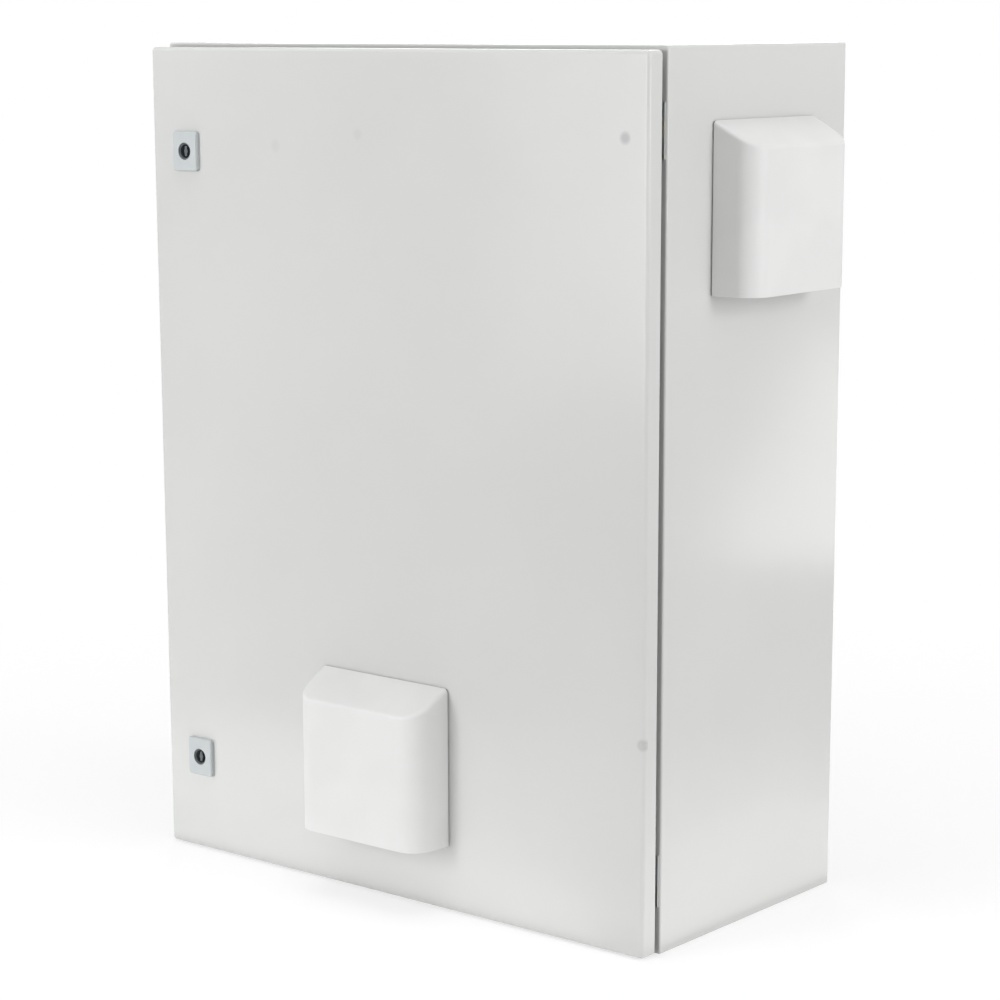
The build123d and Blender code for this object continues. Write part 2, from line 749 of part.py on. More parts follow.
for side_name, height in lock_heights.items():
    face = facing_front(lock_x, door_face_y, height)
    with BuildPart() as housing:
        with BuildSketch(face):
            RectangleRounded(lock_plate_width, lock_plate_height, lock_plate_corner)
        extrude(amount=lock_plate_thickness)
        chamfer(housing.faces().sort_by(Axis.Y)[0].edges(), length=lock_plate_bevel)
        with BuildSketch(face):
            Circle(lock_barrel_radius)
        extrude(amount=-lock_barrel_length)
        with BuildSketch(face.offset(-lock_barrel_length)):
            Circle(lock_core_radius + running_gap)
        extrude(
            amount=lock_barrel_length + lock_plate_thickness - lock_mouth_lip, mode=Mode.SUBTRACT
        )
        with BuildSketch(face):
            Circle(lock_mouth_radius)
        extrude(amount=lock_plate_thickness, mode=Mode.SUBTRACT)
    write(housing, f"{side_name}_lock_housing")

    hex_nuts(
        f"{side_name}_lock_nut",
        [facing_back(lock_x, door_inner_y, height)],
        lock_nut_flats,
        lock_nut_height,
        lock_barrel_radius + thread_gap,
    )

    with BuildPart() as core:
        with BuildSketch(face.offset(-core_shoulder)):
            Circle(lock_core_radius)
        extrude(amount=core_shoulder + core_front)
        with BuildSketch(face.offset(core_front)):
            Circle(lock_socket_radius)
        extrude(amount=-lock_socket_depth, mode=Mode.SUBTRACT)
        with BuildSketch(face.offset(core_front - lock_socket_depth)):
            Circle(bit_pin_radius)
            Rectangle(bit_thickness, bit_span)
        extrude(amount=lock_socket_depth - bit_setback)
        with BuildSketch(face.offset(-core_shoulder)):
            Rectangle(cam_square, cam_square)
        extrude(amount=rest_gap - cam_thickness)
        with BuildSketch(face.offset(-core_shoulder - cam_thickness)):
            Circle(cam_screw_radius + thread_gap)
        extrude(amount=cam_screw_length, mode=Mode.SUBTRACT)
    write(core, f"{side_name}_lock_core")

    with BuildPart() as cam:
        with BuildSketch(face.offset(-core_shoulder)) as cam_outline:
            Circle(cam_width / 2)
            Rectangle(cam_width, cam_reach, align=(Align.CENTER, Align.MAX))
            fillet(cam_outline.vertices().group_by(Axis.Y)[0], radius=cam_tip_round)
            Rectangle(
                cam_square + 2 * running_gap, cam_square + 2 * running_gap, mode=Mode.SUBTRACT
            )
        extrude(amount=-cam_thickness)
    write(cam, f"{side_name}_lock_cam")

    with BuildPart() as cam_screw:
        with BuildSketch(face.offset(-core_shoulder - cam_thickness)):
            RegularPolygon(cam_screw_head_radius, 6)
        extrude(amount=-cam_screw_head_height)
        with BuildSketch(face.offset(-core_shoulder - cam_thickness)):
            Circle(cam_screw_radius)
        extrude(amount=cam_screw_length - rest_gap)
    write(cam_screw, f"{side_name}_lock_cam_screw")
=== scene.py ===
"""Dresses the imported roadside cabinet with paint, plastics, metals, seals and small fasteners."""

import json
import math

import bmesh
import bpy
from bpy.props import FloatProperty, FloatVectorProperty, IntProperty, PointerProperty
from mathutils import Color, Euler, Matrix, Quaternion, Vector, noise


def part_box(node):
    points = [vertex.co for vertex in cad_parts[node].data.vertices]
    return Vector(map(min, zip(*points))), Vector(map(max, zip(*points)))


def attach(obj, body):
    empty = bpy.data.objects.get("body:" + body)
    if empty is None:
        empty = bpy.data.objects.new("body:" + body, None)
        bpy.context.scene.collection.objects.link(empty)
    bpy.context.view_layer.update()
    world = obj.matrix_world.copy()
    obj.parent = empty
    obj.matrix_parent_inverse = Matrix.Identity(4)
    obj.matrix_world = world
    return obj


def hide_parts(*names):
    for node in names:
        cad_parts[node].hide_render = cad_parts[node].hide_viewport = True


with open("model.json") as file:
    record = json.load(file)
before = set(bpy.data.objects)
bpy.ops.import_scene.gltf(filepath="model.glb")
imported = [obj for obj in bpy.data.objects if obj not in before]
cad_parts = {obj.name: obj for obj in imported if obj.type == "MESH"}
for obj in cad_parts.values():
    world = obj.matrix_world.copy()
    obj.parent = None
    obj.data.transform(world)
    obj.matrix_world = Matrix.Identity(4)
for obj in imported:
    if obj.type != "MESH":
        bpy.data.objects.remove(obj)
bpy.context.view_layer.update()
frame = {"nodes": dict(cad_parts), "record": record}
NODES = frame["nodes"]
SLOT_OF = {row["node"]: row["material_slot"] for row in frame["record"]["subparts"]}
BODY_OF = {
    node: body for body, nodes in frame["record"]["behaviour"]["bodies"].items() for node in nodes
}

bl_info = {
    "name": "Roadside cabinet",
    "version": (1, 0, 0),
    "blender": (4, 5, 0),
    "location": "View3D > Sidebar > Cabinet",
    "description": "Finishes and fine pieces of a roadside utility cabinet",
    "category": "Object",
}

MM = 0.001
PATTERN_MEAN = 0.5  # of a noise pattern
WHITE = (1.0, 1.0, 1.0, 1.0)
# Sockets of a mix node, which has a set of them for each type of data
MIX_SHARE = 0
MIX_FIRST_COLOUR = 6
MIX_SECOND_COLOUR = 7
MIX_COLOUR = 2


# Shader nodes


class Value:
    """A socket of a node tree, on which sums are written as Python expressions."""

    def __init__(self, nodes, socket):
        self.nodes = nodes
        self.socket = socket

    def combine(self, operation, first, second):
        return self.nodes.node("ShaderNodeMath", {"operation": operation}, {0: first, 1: second})

    def __add__(self, other):
        return self.combine("ADD", self, other)

    def __radd__(self, other):
        return self.combine("ADD", other, self)

    def __sub__(self, other):
        return self.combine("SUBTRACT", self, other)

    def __rsub__(self, other):
        return self.combine("SUBTRACT", other, self)

    def __mul__(self, other):
        return self.combine("MULTIPLY", self, other)

    def __rmul__(self, other):
        return self.combine("MULTIPLY", other, self)

    def __truediv__(self, other):
        return self.combine("DIVIDE", self, other)

    def __pow__(self, other):
        return self.combine("POWER", self, other)

    def rise(self, low, high):
        """0 below low, 1 above high and a smooth step between them; falls if low is above high."""
        return self.nodes.node(
            "ShaderNodeMapRange",
            {"interpolation_type": "SMOOTHSTEP"},
            {"Value": self, "From Min": low, "From Max": high},
        )

    def swing(self, amount):
        """A pattern's swing to both sides of its mean, over a range of that amount."""
        return (self - PATTERN_MEAN) * amount


class Nodes:
    """A node tree, with one way to add any node to it."""

    def __init__(self, tree):
        self.tree = tree

    def node(self, kind, settings=None, sockets=None, out=0):
        """Adds a node with its settings and inputs, and gives one of its outputs."""
        made = self.tree.nodes.new(kind)
        for key, value in (settings or {}).items():
            setattr(made, key, value)
        for key, value in (sockets or {}).items():
            self.feed(made.inputs[key], value)
        return Value(self, made.outputs[out])

    def feed(self, socket, value):
        """Links an input to a value of the tree, or sets it to a plain one."""
        if isinstance(value, Value):
            self.tree.links.new(value.socket, socket)
        else:
            socket.default_value = value

    def ray(self, kind):
        """1 for a ray of that kind, and 0 for any other."""
        return self.node("ShaderNodeLightPath", out=f"Is {kind} Ray")


class Finish(Nodes):
    """A new material, whose patterns read Object coordinates."""

    def __init__(self, name):
        self.material = bpy.data.materials.new(name)
        self.material.use_nodes = True
        super().__init__(self.material.node_tree)
        self.shader = self.tree.nodes["Principled BSDF"]
        self.place = self.node("ShaderNodeTexCoord", out="Object")

    def noise(self, scale, detail=2.0, place=None):
        sockets = {"Vector": place or self.place, "Scale": scale, "Detail": detail}
        return self.node("ShaderNodeTexNoise", None, sockets, "Fac")

    def cells(self, scale, out="Distance", place=None):
        sockets = {"Vector": place or self.place, "Scale": scale}
        return self.node("ShaderNodeTexVoronoi", None, sockets, out)

    def stretched(self, x, y, z):
        """Object coordinates with a scale of their own along each axis."""
        return self.node("ShaderNodeMapping", None, {"Vector": self.place, "Scale": (x, y, z)})

    def axes(self):
        sockets = {"Vector": self.place}
        return [self.node("ShaderNodeSeparateXYZ", None, sockets, axis) for axis in "XYZ"]

    def mix(self, share, first, second):
        """A colour between two others: the first at a share of 0, and the second at 1."""
        sockets = {MIX_SHARE: share, MIX_FIRST_COLOUR: first, MIX_SECOND_COLOUR: second}
        return self.node("ShaderNodeMix", {"data_type": "RGBA"}, sockets, MIX_COLOUR)

    def bump(self, height, distance, strength=1.0, below=None):
        sockets = {"Height": height, "Distance": distance, "Strength": strength}
        if below is not None:
            sockets["Normal"] = below
        return self.node("ShaderNodeBump", None, sockets)

    def set(self, sockets):
        """Feeds the main shader, and gives the finished material."""
        for key, value in sockets.items():
            self.feed(self.shader.inputs[key], value)
        return self.material


def tone(colour, level=1.0):
    """A screen colour as the linear values that a shader reads, made lighter or darker."""
    made = Color(colour[:3]).from_srgb_to_scene_linear()
    return (made.r * level, made.g * level, made.b * level, 1.0)


# Finishes. A pattern's scale is its waves per metre, and a bump's distance is in metres.

MARK_COLOUR = (0.55, 0.55, 0.56)
MARK_CORE = 0.35  # share of a mark's radius that is dark all over
MARK_FADE = 0.7  # share of a mark's reach over which it is dark all over
MARK_DULLNESS = 0.4
BARE_METAL_COLOUR = (0.42, 0.43, 0.45)
DUST_COLOUR = (0.62, 0.60, 0.55)
FINE_SCRATCH = 0.01 * MM
HOOD_ROUGHNESS = 0.42
FRAME_ROUGHNESS = 0.5
FASTENER_ROUGHNESS = 0.30
ZINC_ROUGHNESS = 0.32
LOCK_ROUGHNESS = 0.52
LOCK_METALLIC = 0.25  # the lock plates are lacquered
# The tones to which the film on plated pieces shifts
FASTENER_TINT = (0.85, 0.84, 0.78)
ZINC_TINT = (0.84, 0.83, 0.78)
LOCK_TINT = (0.750, 0.770, 0.776)


def powder_coat(name, look, marks=(), face=0.0):
    """Satin powder coat: a faint orange peel, a slow drift of tone and a few dull marks."""
    coat = Finish(name)
    drift = coat.noise(look.drift_scale, detail=3.0)
    fine = coat.noise(look.grain_scale)
    peel = coat.noise(look.peel_scale)
    colour = coat.mix(drift.rise(0.3, 0.7), tone(look.colour, 0.985), tone(look.colour, 1.015))
    rough = look.roughness + drift.swing(0.06) + fine.swing(0.04)
    x, y, z = coat.axes()
    for across, up, radius, depth, reach in marks:
        away = ((x - across * MM) ** 2.0 + (z - up * MM) ** 2.0) ** 0.5
        outer = y.rise(face + reach * MM, face + MARK_FADE * reach * MM)
        spot = away.rise(radius * MM, MARK_CORE * radius * MM) * outer
        colour = coat.mix(spot * depth, colour, tone(MARK_COLOUR))
        rough = rough + spot * depth * MARK_DULLNESS
    normal = coat.bump(peel, look.peel_depth)
    normal = coat.bump(fine, look.grain_depth, below=normal)
    return coat.set({"Base Color": colour, "Roughness": rough, "Normal": normal})


def moulded_plastic(name, colour, roughness):
    """Injection-moulded plastic: spark-eroded grain and slow sink marks."""
    plastic = Finish(name)
    grain = plastic.noise(scale=1400.0, detail=3.0)
    sink = plastic.noise(scale=16.0, detail=1.0)
    tint = plastic.mix(sink.rise(0.35, 0.65), tone(colour, 0.98), tone(colour, 1.01))
    rough = roughness + grain.swing(0.12)
    normal = plastic.bump(sink, distance=0.6 * MM, strength=0.35)
    normal = plastic.bump(grain, distance=0.04 * MM, below=normal)
    return plastic.set({"Base Color": tint, "Roughness": rough, "Normal": normal})


def plated_metal(name, colour, roughness, tint, metallic=1.0):
    """Plated steel or cast zinc: a film that shifts tone, and fine rubbing marks.

    A clear lacquer hides some of the metal, and then less of it is metallic.
    """
    metal = Finish(name)
    film = metal.noise(scale=90.0, detail=3.0)
    rub = metal.noise(scale=900.0, detail=3.0, place=metal.stretched(1.0, 0.25, 0.12))
    shade = metal.mix(film.rise(0.35, 0.7), tone(colour), tone(tint))
    rough = roughness + film.swing(0.12) + rub.swing(0.10)
    normal = metal.bump(rub, distance=FINE_SCRATCH)
    return metal.set(
        {"Base Color": shade, "Metallic": metallic, "Roughness": rough, "Normal": normal}
    )


def galvanised_sheet(name, colour):
    """Hot-dip galvanised sheet: zinc flowers of differing tone and shine, and rolled streaks."""
    sheet = Finish(name)
    flower = sheet.cells(scale=110.0, out="Color")
    level = sheet.node("ShaderNodeSeparateColor", None, {"Color": flower}, "Red")
    streak = sheet.noise(scale=240.0, place=sheet.stretched(1.0, 1.0, 0.03))
    share = level * 0.7 + streak * 0.3
    shade = sheet.mix(share, tone(colour, 0.80), tone(colour, 1.12))
    rough = 0.40 + level * 0.16 + streak.swing(0.08)
    normal = sheet.bump(streak, distance=FINE_SCRATCH)
    return sheet.set({"Base Color": shade, "Metallic": 1.0, "Roughness": rough, "Normal": normal})


def foam_rubber(name, colour):
    """Foamed seal: a matt skin with open cells."""
    foam = Finish(name)
    cell = foam.cells(scale=1500.0)
    patch = foam.noise(scale=60.0)
    shade = foam.mix(patch, tone(colour, 0.8), tone(colour, 1.25))
    normal = foam.bump(cell, distance=0.2 * MM, strength=0.6)
    rough = 0.72 + (cell - 0.3) * 0.2
    return foam.set({"Base Color": shade, "Roughness": rough, "Normal": normal})


def black_cast(name, colour):
    """Black lock insert, rubbed to bare metal in places."""
    cast = Finish(name)
    grain = cast.noise(scale=1300.0, detail=3.0)
    worn = cast.noise(scale=260.0, detail=4.0).rise(0.62, 0.72)
    shade = cast.mix(worn * 0.6, tone(colour), tone(BARE_METAL_COLOUR))
    rough = 0.38 + grain.swing(0.2) - worn * 0.1
    normal = cast.bump(grain, distance=0.03 * MM)
    return cast.set({"Base Color": shade, "Metallic": worn * 0.7, "Roughness": rough, "Normal": normal})


def fibre_fleece(name, colour):
    """Filter fleece: crossing polyester fibres, a little dust and no shine."""
    fleece = Finish(name)
    ways = ((6.0, 1.0, 1.0), (1.0, 6.0, 1.0), (1.0, 1.0, 6.0))
    layers = [fleece.noise(scale=900.0, place=fleece.stretched(*way)).rise(0.50, 0.62) for way in ways]
    strand = (layers[0] + layers[1] + layers[2]) / len(ways)
    dust = fleece.noise(scale=70.0, detail=3.0).rise(0.45, 0.75)
    shade = fleece.mix(strand, tone(colour, 0.72), tone(colour, 1.05))
    shade = fleece.mix(dust * 0.25, shade, tone(DUST_COLOUR))
    normal = fleece.bump(strand, distance=0.4 * MM)
    rough = 0.86 + strand * 0.1
    return fleece.set({"Base Color": shade, "Roughness": rough, "Normal": normal})


# What a user would change


def colour_choice(name, description, default):
    """A property that holds a screen colour."""
    return FloatVectorProperty(
        name=name, description=description, subtype="COLOR_GAMMA", size=3, min=0.0, max=1.0,
        default=default,
    )


class CabinetPaint(bpy.types.PropertyGroup):
    """The powder coat of case and door."""

    colour: colour_choice("Paint", "Colour of case and door", (0.845, 0.848, 0.841))
    roughness: FloatProperty(
        name="Roughness", description="Mean roughness of the powder coat", default=0.14,
        min=0.0, max=1.0, subtype="FACTOR",
    )
    peel_scale: FloatProperty(
        name="Peel scale", description="Waves of the orange peel per metre", default=260.0, min=1.0
    )
    peel_depth: FloatProperty(
        name="Peel depth", description="Height of the orange peel", default=0.00002, min=0.0,
        unit="LENGTH", precision=6,
    )
    grain_scale: FloatProperty(
        name="Grain scale", description="Powder grains per metre", default=1500.0, min=1.0
    )
    grain_depth: FloatProperty(
        name="Grain depth", description="Height of the powder grain", default=0.000002, min=0.0,
        unit="LENGTH", precision=6,
    )
    drift_scale: FloatProperty(
        name="Drift scale", description="Slow changes of tone per metre", default=3.5, min=0.1
    )


class CabinetTrim(bpy.types.PropertyGroup):
    """Colours of everything but the paint."""

    hood_colour: colour_choice("Hoods", "Colour of the rain hoods", (0.898, 0.899, 0.895))
    frame_colour: colour_choice("Filter frames", "Colour of the filter frames", (0.78, 0.78, 0.77))
    plating_colour: colour_choice("Lock plates", "Colour of the lock plates", (0.760, 0.778, 0.783))
    core_colour: colour_choice("Lock cores", "Colour of the lock inserts", (0.36, 0.38, 0.39))
    zinc_colour: colour_choice("Zinc", "Colour of zinc-plated pieces", (0.80, 0.81, 0.83))
    sheet_colour: colour_choice("Galvanised sheet", "Colour of plates and rails", (0.71, 0.72, 0.73))
    strip_colour: colour_choice("Hood strips", "Colour of the foam under the hoods", (0.55, 0.55, 0.54))
    filter_colour: colour_choice("Filter mats", "Colour of the filter fleece", (0.93, 0.93, 0.91))
    seal_colour: colour_choice("Seals", "Colour of the foamed seals", (0.24, 0.24, 0.25))


class CabinetDetail(bpy.types.PropertyGroup):
    """Form of the fine pieces."""

    thread_steps: IntProperty(
        name="Thread steps", description="Facets in a turn of thread", default=24, min=8, max=96
    )
    recess_arm: FloatProperty(
        name="Recess arm", description="Length of a cross recess's arm, as a share of the head's radius",
        default=0.46, min=0.1, max=0.6, subtype="FACTOR",
    )
    bead_groove: FloatProperty(
        name="Bead groove", description="Depth of the groove that the case's lip leaves in the door's seal",
        default=0.0009, min=0.0, max=0.002, unit="LENGTH", precision=5,
    )
    bead_corner: FloatProperty(
        name="Bead corner", description="Outer radius of the door seal's corners", default=0.018,
        min=0.013, unit="LENGTH", precision=4,
    )
    mat_fuzz: FloatProperty(
        name="Mat fuzz", description="Height of the tufts on the filter mats", default=0.0008,
        min=0.0, max=0.002, unit="LENGTH", precision=5,
    )


class CabinetStage(bpy.types.PropertyGroup):
    """Camera, light and floor."""

    azimuth: FloatProperty(
        name="Azimuth", description="Camera's turn to the right of the door", subtype="ANGLE",
        default=math.radians(39.5351),
    )
    elevation: FloatProperty(
        name="Elevation", description="Camera's height above the horizon", subtype="ANGLE",
        default=math.radians(11.7565),
    )
    roll: FloatProperty(
        name="Roll", description="Camera's turn about its own axis", subtype="ANGLE",
        default=math.radians(-0.1611),
    )
    distance: FloatProperty(
        name="Distance", description="From the camera to its target", unit="LENGTH", default=2.7225
    )
    target: FloatVectorProperty(
        name="Target", description="Point that the camera looks at", subtype="TRANSLATION", size=3,
        unit="LENGTH", default=(0.01205, 0.0, 0.26709),
    )
    lens: FloatProperty(
        name="Lens", description="Focal length", subtype="DISTANCE_CAMERA", default=100.557
    )
    shift: FloatProperty(
        name="Shift", description="Upward shift of the picture", default=0.1
    )
    ambient: FloatProperty(
        name="Ambient", description="Strength of the light from all round", default=0.30, min=0.0
    )
    floor_near: FloatProperty(
        name="Near floor", description="Brightness of the floor by the cabinet, as mirrored",
        default=1.0, min=0.0,
    )
    floor_far: FloatProperty(
        name="Far floor", description="Brightness of the floor further off, as mirrored",
        default=0.5, min=0.0,
    )


# The fine pieces

# Sizes that they share with the solids, in millimetres
BEAD_WIDTH = 12.0
STRIP_WIDTH = 7.0
GASKET_WIDTH = 16.0
SCREW_HEAD = 2.6
SCREW_SHANK = 2.0
# The door seal's outer half: how far in from its edge, and how high as a share of its height
BEAD_RISE = ((0.25, 0.40), (0.8, 0.66), (1.8, 0.86), (3.2, 0.97), (4.4, 1.0))
BEAD_GROOVE_SIDE = 5.2  # from the bead's edge to the middle of the groove's slope
BEAD_CORNER_STEPS = 8
FOAM_ROUND = 0.3  # radius of a cut foam edge, as a share of its thickness
FOAM_ROUND_STEPS = 3
SHARP_TURN = 1.0  # edges that turn by more than this angle, in radians, are rounded
# The filter mats: a grid of tufts in layers, full in the middle and pinched at the cut edge
MAT_GRID = (56, 50)
MAT_LAYERS = 4
MAT_SEED = 11
MAT_PINCHED = 0.70  # thickness at the cut edge, as a share of the full one
MAT_LOFT = 0.22  # what the middle adds to that share
MAT_EDGE = 8.0  # from the cut edge to where the mat is full, in millimetres
TUFT_SCALE = 260.0  # tufts per metre
FIBRE_SCALE = 900.0  # fibre ends per metre
FIBRE_SHARE = 0.6  # height of a fibre end, as a share of a tuft's
# Fasteners
RING_STEPS = 24
THREAD_DEPTH = 0.6  # as a share of the pitch
SPARE_TURNS = 2  # of thread beyond each end, which are trimmed off
# A tooth of thread: its depth as a share, and its place along the pitch as a share
THREAD_TOOTH = ((1.0, 0.0), (1.0, 0.25), (0.0, 0.56), (0.0, 0.69))
NUT_CHAMFER = math.radians(30.0)
NUT_FACE = 0.97  # radius of a nut's end face, as a share of half its width
NUT_SINK = 0.12  # countersink of a nut's bore, as a share of the bore's radius
POINT_RADIUS = 0.35  # of a screw's blunt end, as a share of its shank's radius
POINT_LENGTH = 1.2  # of its point, as a share of the same
# A pan head from its underside to its crown: shares of its radius and of its height
PAN_HEAD = ((1.0, 0.0), (1.0, 0.38), (0.93, 0.72), (0.78, 0.93), (0.62, 1.0))
# The cross recess from its rim to its floor: shares of its arm and of the head's height
CROSS_RECESS = ((1.0, 1.0), (0.55, 0.4))
CROSS_WIDTH = 0.26  # half of an arm's width, as a share of its length
LEAST_SINE = 0.001  # keeps a sum clear of a division by zero
# Verts nearer than these are one, in metres
PIECE_MERGE = 0.005 * MM
NODE_MERGE = 0.001 * MM
# Dull marks on the door: across, up, radius, how dark as a share, and how far back from the door's face
MARKS = (
    (274.0, 723.0, 7.0, 0.55, 1.4),
    (296.5, 198.0, 6.8, 0.34, 6.0),
    (-135.0, 706.0, 8.0, 0.08, 1.4),
    (-31.0, 719.0, 7.0, 0.08, 1.4),
    (-11.0, 612.0, 8.0, 0.02, 1.4),
)
# Each group of studs, with the way that it points along its axis, and its pitch
STUDS = (
    ("plate_threads", "mounting_plate_studs", -1, 1.25),
    ("gland_threads", "gland_plate_studs", 1, 0.8),
    ("case_earth_thread", "body_earth_stud", 1, 1.0),
    ("door_earth_thread", "door_earth_stud", 1, 1.0),
)
# Each group of nuts, with the radius of its bore
NUTS = (
    ("plate_hexagons", "mounting_plate_nuts", 4.0),
    ("gland_hexagons", "gland_plate_nuts", 2.5),
    ("case_earth_hexagon", "body_earth_nut", 3.0),
    ("door_earth_hexagon", "door_earth_nut", 3.0),
    ("hinge_hexagons", "hinge_nuts", 2.0),
    ("upper_lock_hexagon", "upper_lock_nut", 11.0),
    ("lower_lock_hexagon", "lower_lock_nut", 11.0),
)
# Each group of screws, with its axis and the way that its heads face along it
SCREWS = (
    ("door_vent_pan_heads", "door_vent_screws", 1, 1),
    ("side_vent_pan_heads", "side_vent_screws", 0, -1),
)


# Work shared by the operators


def dress(names, material):
    """Gives CAD nodes one material."""
    for name in names:
        NODES[name].data.materials.clear()
        NODES[name].data.materials.append(material)


def nodes_of(slot):
    """The CAD nodes that take their finish from one material slot."""
    return [name for name in NODES if SLOT_OF[name] == slot]


def finish_piece(mesh, name, material, node, smooth=False):
    """Makes a mesh an object that rides on a CAD node's body and is shown in its place."""
    bmesh.ops.remove_doubles(mesh, verts=mesh.verts, dist=PIECE_MERGE)
    bmesh.ops.recalc_face_normals(mesh, faces=mesh.faces)
    for face in mesh.faces:
        face.smooth = smooth
    data = bpy.data.meshes.new(name)
    mesh.to_mesh(data)
    mesh.free()
    data.materials.append(material)
    made = bpy.data.objects.new(name, data)
    bpy.context.scene.collection.objects.link(made)
    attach(made, BODY_OF[node])
    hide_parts(node)


def islands(name):
    """Lowest and highest corner of each separate solid of a CAD node, in a settled order."""
    copy = bmesh.new()
    copy.from_mesh(NODES[name].data)
    bmesh.ops.remove_doubles(copy, verts=copy.verts, dist=NODE_MERGE)
    left = set(copy.verts)
    boxes = []
    while left:
        reached = [left.pop()]
        group = []
        while reached:
            vert = reached.pop()
            group.append(vert.co.copy())
            fresh = {edge.other_vert(vert) for edge in vert.link_edges} & left
            left -= fresh
            reached += fresh
        boxes.append((Vector(map(min, zip(*group))), Vector(map(max, zip(*group)))))
    copy.free()
    return sorted(boxes, key=lambda corners: tuple(round(value, 5) for value in corners[0]))


def stand(corners, axis, way):
    """The matrix that stands a shape made along +Z on one face of a box, facing along an axis."""
    low, high = corners
    base = (low + high) / 2.0
    base[axis] = low[axis] if way > 0 else high[axis]
    out = Vector([float(way) if i == axis else 0.0 for i in range(3)])
    across = Vector([1.0 if i == (axis + 1) % 3 else 0.0 for i in range(3)])
    turn = Matrix((across, out.cross(across), out)).transposed()
    return Matrix.Translation(base) @ turn.to_4x4()


def cross_sizes(corners, axis):
    """A box's sizes along the two axes that follow the given one."""
    size = corners[1] - corners[0]
    return size[(axis + 1) % 3], size[(axis + 2) % 3]


def copies(shape, places):
    """A mesh of copies of one shape, each moved by its own matrix."""
    data = bpy.data.meshes.new("shape")
    shape.to_mesh(data)
    shape.free()
    out = bmesh.new()
    for place in places:
        before = len(out.verts)
        out.from_mesh(data)
        out.verts.ensure_lookup_table()
        bmesh.ops.transform(out, matrix=place, verts=out.verts[before:])
    bpy.data.meshes.remove(data)
    return out


def circle(mesh, radius, level, cap=False):
    """Starts a mesh with a level circle on the axis, and gives its edges."""
    made = bmesh.ops.create_circle(mesh, cap_ends=cap, segments=RING_STEPS, radius=radius)["verts"]
    bmesh.ops.translate(mesh, vec=(0.0, 0.0, level), verts=made)
    return mesh.edges[:]


def next_ring(mesh, edges, far, level, outline=None, slope=0.0):
    """Extrudes a ring of edges to the next ring round the axis, and gives its edges.

    The outline gives the share of far at an angle. The slope lifts what lies beyond far.
    """
    made = bmesh.ops.extrude_edge_only(mesh, edges=edges)["geom"]
    for vert in made:
        if not isinstance(vert, bmesh.types.BMVert):
            continue
        angle = math.atan2(vert.co.y, vert.co.x)
        reach = far * outline(angle) if outline else far
        vert.co.x = reach * math.cos(angle)
        vert.co.y = reach * math.sin(angle)
        vert.co.z = level + (reach - far) * slope
    return [part for part in made if isinstance(part, bmesh.types.BMEdge)]


def hexagon_outline(angle):
    """Reach of a hexagon at an angle, where its flats lie at 1."""
    return 1.0 / math.cos((angle + math.pi / 6.0) % (math.pi / 3.0) - math.pi / 6.0)


def cross_outline(angle):
    """Reach of a cross recess at an angle, where its arms end at 1."""
    turn = abs((angle + math.pi / 4.0) % (math.pi / 2.0) - math.pi / 4.0)
    return min(1.0 / math.cos(turn), CROSS_WIDTH / max(math.sin(turn), LEAST_SINE))


def threaded_rod(radius, length, pitch, steps):
    """A stud's thread: a zig-zag profile spun along a helix, trimmed square and chamfered."""
    deep = THREAD_DEPTH * pitch
    turns = range(-SPARE_TURNS, int(length / pitch) + 1 + SPARE_TURNS)
    profile = [
        (radius - depth * deep, 0.0, (turn + share) * pitch)
        for turn in turns
        for depth, share in THREAD_TOOTH
    ]
    rod = bmesh.new()
    verts = [rod.verts.new(point) for point in profile]
    edges = [rod.edges.new(pair) for pair in zip(verts, verts[1:])]
    bmesh.ops.spin(
        rod, geom=verts + edges, cent=(0.0, 0.0, 0.0), axis=(0.0, 0.0, 1.0),
        dvec=(0.0, 0.0, pitch / steps), angle=math.tau, steps=steps,
    )
    bmesh.ops.remove_doubles(rod, verts=rod.verts, dist=0.01 * pitch)
    for level, way in ((0.0, -1.0), (length, 1.0)):
        bmesh.ops.bisect_plane(
            rod, geom=rod.verts[:] + rod.edges[:] + rod.faces[:], dist=0.001 * pitch,
            plane_co=(0.0, 0.0, level), plane_no=(0.0, 0.0, way), clear_outer=True,
        )
    start = length - pitch
    for vert in rod.verts:
        far = math.hypot(vert.co.x, vert.co.y)
        limit = radius - max(0.0, vert.co.z - start)
        if far > limit:
            vert.co.x *= limit / far
            vert.co.y *= limit / far
    bmesh.ops.holes_fill(rod, edges=[edge for edge in rod.edges if edge.is_boundary], sides=0)
    return rod


def hexagon_nut(flats, height, bore):
    """A turned nut: both ends chamfered at 30 degrees, so that each flat ends in an arc."""
    half = flats / 2.0
    drop = math.tan(NUT_CHAMFER)
    rim = (1.0 - NUT_FACE) * half * drop
    sink = NUT_SINK * bore
    nut = bmesh.new()
    edges = circle(nut, bore, sink)
    for far, level in ((bore + sink, 0.0), (NUT_FACE * half, 0.0)):
        edges = next_ring(nut, edges, far, level)
    edges = next_ring(nut, edges, half, rim, hexagon_outline, drop)
    edges = next_ring(nut, edges, half, height - rim, hexagon_outline, -drop)
    top = ((NUT_FACE * half, height), (bore + sink, height), (bore, height - sink), (bore, sink))
    for far, level in top:
        edges = next_ring(nut, edges, far, level)
    return nut


def pan_screw(head, height, shank, length, arm):
    """A pan-head screw that stands on its point, with a cross recess in the head."""
    neck = length - height
    screw = bmesh.new()
    edges = circle(screw, POINT_RADIUS * shank, 0.0, cap=True)
    for far, level in ((shank, POINT_LENGTH * shank), (shank, neck)):
        edges = next_ring(screw, edges, far, level)
    for share, rise in PAN_HEAD:
        edges = next_ring(screw, edges, share * head, neck + rise * height)
    for share, rise in CROSS_RECESS:
        edges = next_ring(screw, edges, share * arm * head, neck + rise * height, cross_outline)
    bmesh.ops.contextual_create(screw, geom=edges)
    return screw


